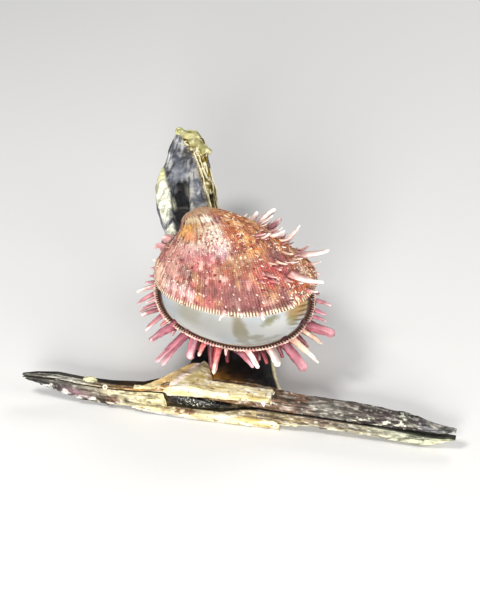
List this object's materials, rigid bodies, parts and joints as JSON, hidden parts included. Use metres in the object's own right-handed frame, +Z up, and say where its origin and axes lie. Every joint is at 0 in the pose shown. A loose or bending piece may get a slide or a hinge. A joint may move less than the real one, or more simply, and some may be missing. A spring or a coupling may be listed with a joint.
{
  "type": "spiny oyster shell on a hammer oyster",
  "caption": "Gaping spiny oyster shell with radiating spines, grown on a T-shaped hammer oyster that lies on its lower valve as its natural base.",
  "frame": {"origin": "middle of the bounding box, on the surface it rests on", "axes": "+X along the hammer oyster's long hinge bar, to the right in the picture; +Y from the bar towards the tip of its body; +Z up"},
  "size_m": [0.2, 0.1632, 0.0737],
  "materials": {
    "spiny_upper_shell": "finely ribbed dusty rose shell with cream and rust blotches, satin",
    "spiny_lower_shell": "pink and cream spiny shell outside, smooth white porcelain inside",
    "inner_ligament": "dark brown, dried and dull",
    "hammer_upper_shell": "rough layered shell, grey-brown with cream and grey-blue patches",
    "hammer_lower_shell": "rough layered shell, grey-brown with cream edges",
    "dark_ligament": "black, wet-looking, with pale specks"
  },
  "bodies": {
    "root": {"spiny_upper_valve": "spiny_upper_shell", "spiny_lower_valve": "spiny_lower_shell", "spiny_hinge_ligament": "inner_ligament", "hammer_upper_valve": "hammer_upper_shell", "hammer_lower_valve": "hammer_lower_shell", "hammer_ligament": "dark_ligament"}
  },
  "joints": []
}
